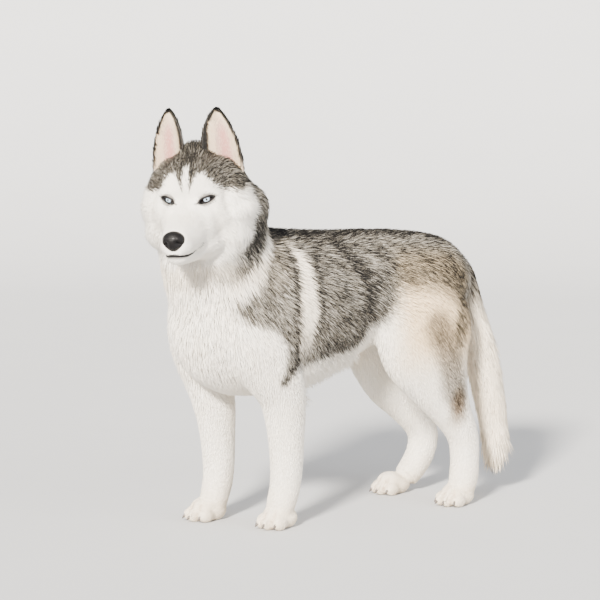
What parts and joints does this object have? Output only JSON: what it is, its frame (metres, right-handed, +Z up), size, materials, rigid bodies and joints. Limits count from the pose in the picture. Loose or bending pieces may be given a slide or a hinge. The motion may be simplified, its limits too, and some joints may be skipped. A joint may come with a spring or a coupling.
{
  "type": "standing siberian husky model",
  "caption": "Still life-size siberian husky standing on four paws with its head turned left, ears up and brush hanging.",
  "frame": {"origin": "on the floor under the middle of the bounding box", "axes": "+Z up, -Y the way the body faces, +X the dog's left"},
  "size_m": [0.2882, 0.8726, 0.8056],
  "materials": {
    "white_coat": "dense white and cream fur",
    "grey_coat": "grey fur with dark tips",
    "ear_coat": "short velvety fur, pink skin inside the cup",
    "nose_leather": "damp pebbled black leather",
    "eye_surface": "wet glossy eye, pale blue iris",
    "claw_horn": "smooth dark horn"
  },
  "bodies": {
    "root": {"chest": "white_coat", "claw_fore_left_1": "claw_horn", "claw_fore_left_2": "claw_horn", "claw_fore_left_3": "claw_horn", "claw_fore_left_4": "claw_horn", "claw_fore_right_1": "claw_horn", "claw_fore_right_2": "claw_horn", "claw_fore_right_3": "claw_horn", "claw_fore_right_4": "claw_horn", "claw_hind_left_1": "claw_horn", "claw_hind_left_2": "claw_horn", "claw_hind_left_3": "claw_horn", "claw_hind_left_4": "claw_horn", "claw_hind_right_1": "claw_horn", "claw_hind_right_2": "claw_horn", "claw_hind_right_3": "claw_horn", "claw_hind_right_4": "claw_horn", "ear_left": "ear_coat", "ear_right": "ear_coat", "eye_left": "eye_surface", "eye_right": "eye_surface", "foreleg_lower_left": "white_coat", "foreleg_lower_right": "white_coat", "foreleg_upper_left": "white_coat", "foreleg_upper_right": "white_coat", "head": "white_coat", "hock_left": "white_coat", "hock_right": "white_coat", "loin": "grey_coat", "lower_jaw": "white_coat", "neck": "white_coat", "nose": "nose_leather", "paw_fore_left": "white_coat", "paw_fore_right": "white_coat", "paw_hind_left": "white_coat", "paw_hind_right": "white_coat", "rump": "grey_coat", "shank_left": "white_coat", "shank_right": "white_coat", "tail": "white_coat", "thigh_left": "white_coat", "thigh_right": "white_coat"}
  },
  "joints": []
}
